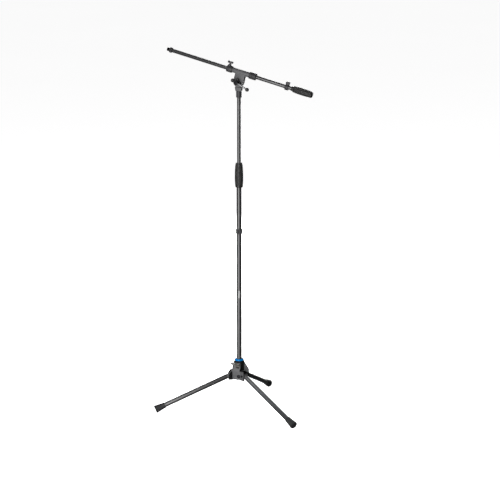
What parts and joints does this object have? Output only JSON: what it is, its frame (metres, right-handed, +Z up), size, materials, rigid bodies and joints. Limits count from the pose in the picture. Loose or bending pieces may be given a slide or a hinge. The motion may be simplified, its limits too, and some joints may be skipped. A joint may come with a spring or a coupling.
{
  "type": "boom microphone stand",
  "caption": "Tripod microphone stand with folding legs, telescopic column with a hand clutch, and a tilting, sliding boom that ends in a microphone thread.",
  "frame": {"origin": "on the floor under the middle of the stand's bounding box, with the tripod open", "axes": "+Z up along the column; the boom lies in the XZ plane's direction, its microphone thread towards -X and its grip towards +X; one leg points to +Y and the release lever faces -Y"},
  "size_m": [0.6742, 0.5856, 1.6036],
  "materials": {
    "cast_paint": "satin dark grey powder coat on die cast aluminium",
    "tube_paint": "satin black paint on steel tube",
    "dark_plastic": "black moulded plastic",
    "pale_plastic": "natural nylon",
    "foot_rubber": "matt black rubber",
    "grip_rubber": "black rubber with a diamond pattern",
    "blue_trim": "vivid blue plastic",
    "bright_steel": "zinc plated steel",
    "black_steel": "blackened steel",
    "lever_metal": "grey coated steel sheet"
  },
  "bodies": {
    "base": {"hub_casting": "cast_paint", "hub_cover": "dark_plastic", "cover_screw_1": "black_steel", "cover_screw_2": "black_steel", "cover_screw_3": "black_steel", "trim_ring": "blue_trim", "column_set_screw": "black_steel", "lever_pin": "black_steel", "lever_spring": "bright_steel", "leg_bolt_1": "black_steel", "leg_bolt_2": "black_steel", "leg_bolt_3": "black_steel", "leg_nut_1": "black_steel", "leg_nut_2": "black_steel", "leg_nut_3": "black_steel", "lower_tube": "tube_paint", "clutch_body": "dark_plastic", "clutch_collet": "pale_plastic"},
    "leg_1": {"leg_tube_1": "tube_paint", "leg_knuckle_1": "cast_paint", "rubber_foot_1": "foot_rubber"},
    "leg_2": {"leg_tube_2": "tube_paint", "leg_knuckle_2": "cast_paint", "rubber_foot_2": "foot_rubber"},
    "leg_3": {"leg_tube_3": "tube_paint", "leg_knuckle_3": "cast_paint", "rubber_foot_3": "foot_rubber"},
    "lever": {"release_lever": "lever_metal"},
    "lower_clip": {"column_clip": "dark_plastic"},
    "clutch": {"clutch_sleeve": "dark_plastic", "clutch_grip": "grip_rubber"},
    "mast": {"upper_tube": "tube_paint", "slide_guide": "pale_plastic", "column_stud": "bright_steel"},
    "head": {"tilt_yoke": "cast_paint", "socket_ring": "dark_plastic", "spindle_washer_front": "bright_steel", "spindle_washer_rear": "bright_steel", "spindle_nut": "black_steel"},
    "bracket": {"boom_bracket": "cast_paint", "friction_washer_front": "pale_plastic", "friction_washer_rear": "pale_plastic", "front_collar": "dark_plastic", "rear_collar": "dark_plastic", "sleeve_bush_front": "pale_plastic", "sleeve_bush_rear": "pale_plastic", "brake_pad": "pale_plastic"},
    "knob": {"tilt_knob": "dark_plastic"},
    "spindle": {"clamp_spindle": "black_steel"},
    "t_bar": {"tommy_bar": "bright_steel", "bar_ball_left": "dark_plastic", "bar_ball_right": "dark_plastic"},
    "wing": {"wing_screw": "dark_plastic"},
    "boom": {"boom_rod": "tube_paint", "boom_stud": "black_steel", "boom_grip": "grip_rubber"},
    "lock_ring": {"stud_ring": "dark_plastic"},
    "upper_clip": {"boom_clip": "dark_plastic"}
  },
  "joints": [
    {"name": "leg_fold_1", "type": "hinge", "parent": "base", "child": "leg_1", "pos_m": [-0.00167, -0.0512, 0.16017], "axis": [1, 0, 0], "range_deg": [0, 113]},
    {"name": "leg_fold_2", "type": "hinge", "parent": "base", "child": "leg_2", "pos_m": [-0.03544, -0.1097, 0.16017], "axis": [-0.5, 0.866, 0], "range_deg": [0, 113]},
    {"name": "leg_fold_3", "type": "hinge", "parent": "base", "child": "leg_3", "pos_m": [0.03211, -0.1097, 0.16017], "axis": [-0.5, -0.866, 0], "range_deg": [0, 113]},
    {"name": "release_lever", "type": "hinge", "parent": "base", "child": "lever", "pos_m": [-0.00167, -0.1102, 0.21417], "axis": [1, 0, 0], "range_deg": [0, 12], "stiffness_Nm_per_rad": 0.5, "springref_deg": -17.19, "deforming": ["lever_spring"]},
    {"name": "column_clip_slide", "type": "slide", "parent": "base", "child": "lower_clip", "axis": [0, 0, 1], "range_m": [-0.25, 0.18]},
    {"name": "clutch_turn", "type": "hinge", "parent": "base", "child": "clutch", "pos_m": [-0.00167, -0.0902, 1.06], "axis": [0, 0, 1], "range_deg": [0, 90]},
    {"name": "column_slide", "type": "slide", "parent": "base", "child": "mast", "axis": [0, 0, 1], "range_m": [-0.28, 0.25]},
    {"name": "head_swivel", "type": "hinge", "parent": "mast", "child": "head", "pos_m": [-0.00167, -0.0902, 1.42], "axis": [0, 0, 1], "continuous": true},
    {"name": "boom_tilt", "type": "hinge", "parent": "head", "child": "bracket", "pos_m": [-0.00167, -0.0902, 1.46787], "axis": [0, 1, 0], "range_deg": [-104, 75]},
    {"name": "tilt_knob_turn", "type": "hinge", "parent": "head", "child": "knob", "pos_m": [-0.00167, -0.0902, 1.46787], "axis": [0, 1, 0], "range_deg": [-180, 180]},
    {"name": "spindle_turn", "type": "hinge", "parent": "head", "child": "spindle", "pos_m": [-0.00167, -0.0902, 1.46787], "axis": [0, 1, 0], "range_deg": [-180, 180]},
    {"name": "t_bar_slide", "type": "slide", "parent": "spindle", "child": "t_bar", "axis": [0.8712, 0, -0.4909], "range_m": [-0.0388, 0]},
    {"name": "wing_screw_turn", "type": "hinge", "parent": "bracket", "child": "wing", "pos_m": [-0.04662, -0.0902, 1.52257], "axis": [0.2453, 0, 0.9694], "range_deg": [-180, 180]},
    {"name": "boom_slide", "type": "slide", "parent": "bracket", "child": "boom", "axis": [0.9694, 0, -0.2453], "range_m": [-0.09, 0.25]},
    {"name": "lock_ring_turn", "type": "hinge", "parent": "boom", "child": "lock_ring", "pos_m": [-0.33465, -0.0902, 1.59545], "axis": [0.9694, 0, -0.2453], "continuous": true},
    {"name": "boom_clip_slide", "type": "slide", "parent": "boom", "child": "upper_clip", "axis": [0.9694, 0, -0.2453], "range_m": [-0.04, 0.012]}
  ]
}
